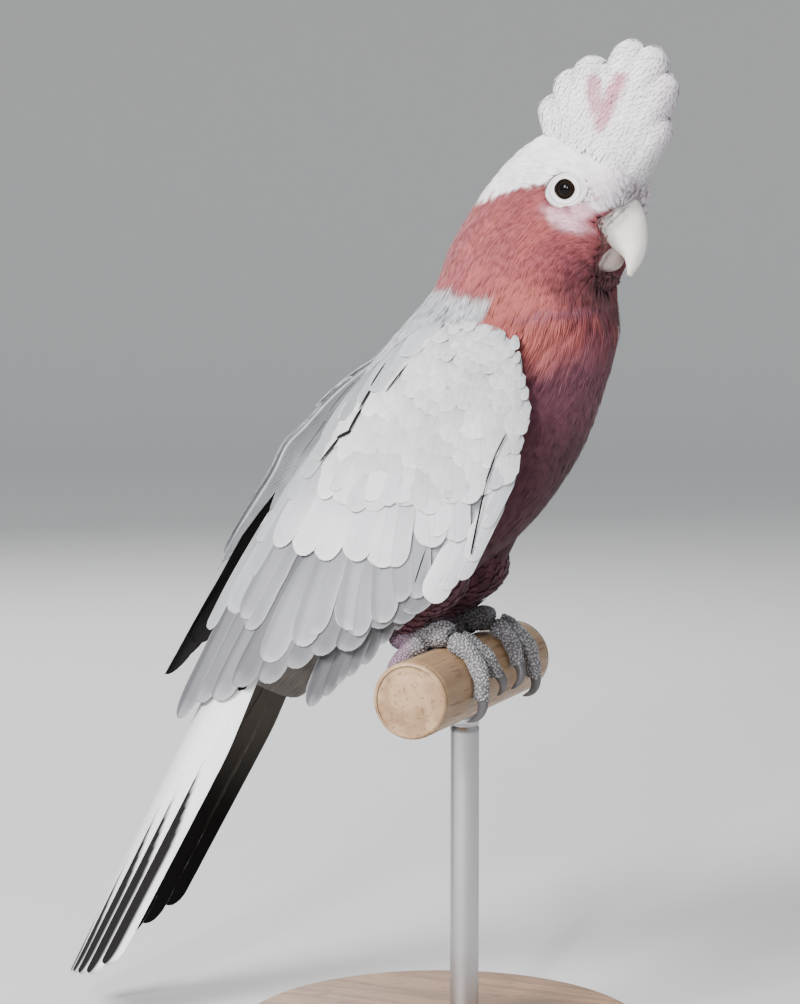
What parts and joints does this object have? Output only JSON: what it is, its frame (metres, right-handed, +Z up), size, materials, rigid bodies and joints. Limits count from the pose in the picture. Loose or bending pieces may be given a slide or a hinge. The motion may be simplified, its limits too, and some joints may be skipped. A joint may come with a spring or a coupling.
{
  "type": "galah",
  "caption": "Life-size still model of a perched galah, a rose and grey cockatoo with raised crest, gripping a round perch on a plain display stand.",
  "frame": {"origin": "on the flat underside of the stand's base, straight below the middle of the perch", "axes": "+X the way the bird faces, +Y to the bird's left, +Z up"},
  "size_m": [0.2313, 0.144, 0.3501],
  "materials": {
    "rose_plumage": "soft matt rose feathers, paler at the crown",
    "white_plumage": "soft matt pinkish-white crest feathers",
    "grey_plumage": "soft matt pale grey feathers with pale edges",
    "dark_plumage": "matt dark grey flight and tail feathers with pale webs",
    "foot_skin": "dry grey scaled skin",
    "claw_horn": "dark polished horn",
    "bill_horn": "satin horn white",
    "eye": "wet gloss dark brown",
    "perch_wood": "oiled",
    "base_wood": "satin varnish",
    "rod_steel": "brushed"
  },
  "bodies": {
    "root": {"head": "rose_plumage", "neck": "rose_plumage", "trunk": "rose_plumage", "crest": "white_plumage", "bill_upper": "bill_horn", "bill_lower": "bill_horn", "eye_right": "eye", "wing_right": "grey_plumage", "wing_right_flight": "grey_plumage", "wing_right_primaries": "dark_plumage", "thigh_right": "grey_plumage", "shank_right": "foot_skin", "toe_right_1": "foot_skin", "claw_right_1": "claw_horn", "toe_right_2": "foot_skin", "claw_right_2": "claw_horn", "toe_right_3": "foot_skin", "claw_right_3": "claw_horn", "toe_right_4": "foot_skin", "claw_right_4": "claw_horn", "eye_left": "eye", "wing_left": "grey_plumage", "wing_left_flight": "grey_plumage", "wing_left_primaries": "dark_plumage", "thigh_left": "grey_plumage", "shank_left": "foot_skin", "toe_left_1": "foot_skin", "claw_left_1": "claw_horn", "toe_left_2": "foot_skin", "claw_left_2": "claw_horn", "toe_left_3": "foot_skin", "claw_left_3": "claw_horn", "toe_left_4": "foot_skin", "claw_left_4": "claw_horn", "tail": "dark_plumage", "stand_perch": "perch_wood", "stand_rod": "rod_steel", "stand_base": "base_wood"}
  },
  "joints": []
}
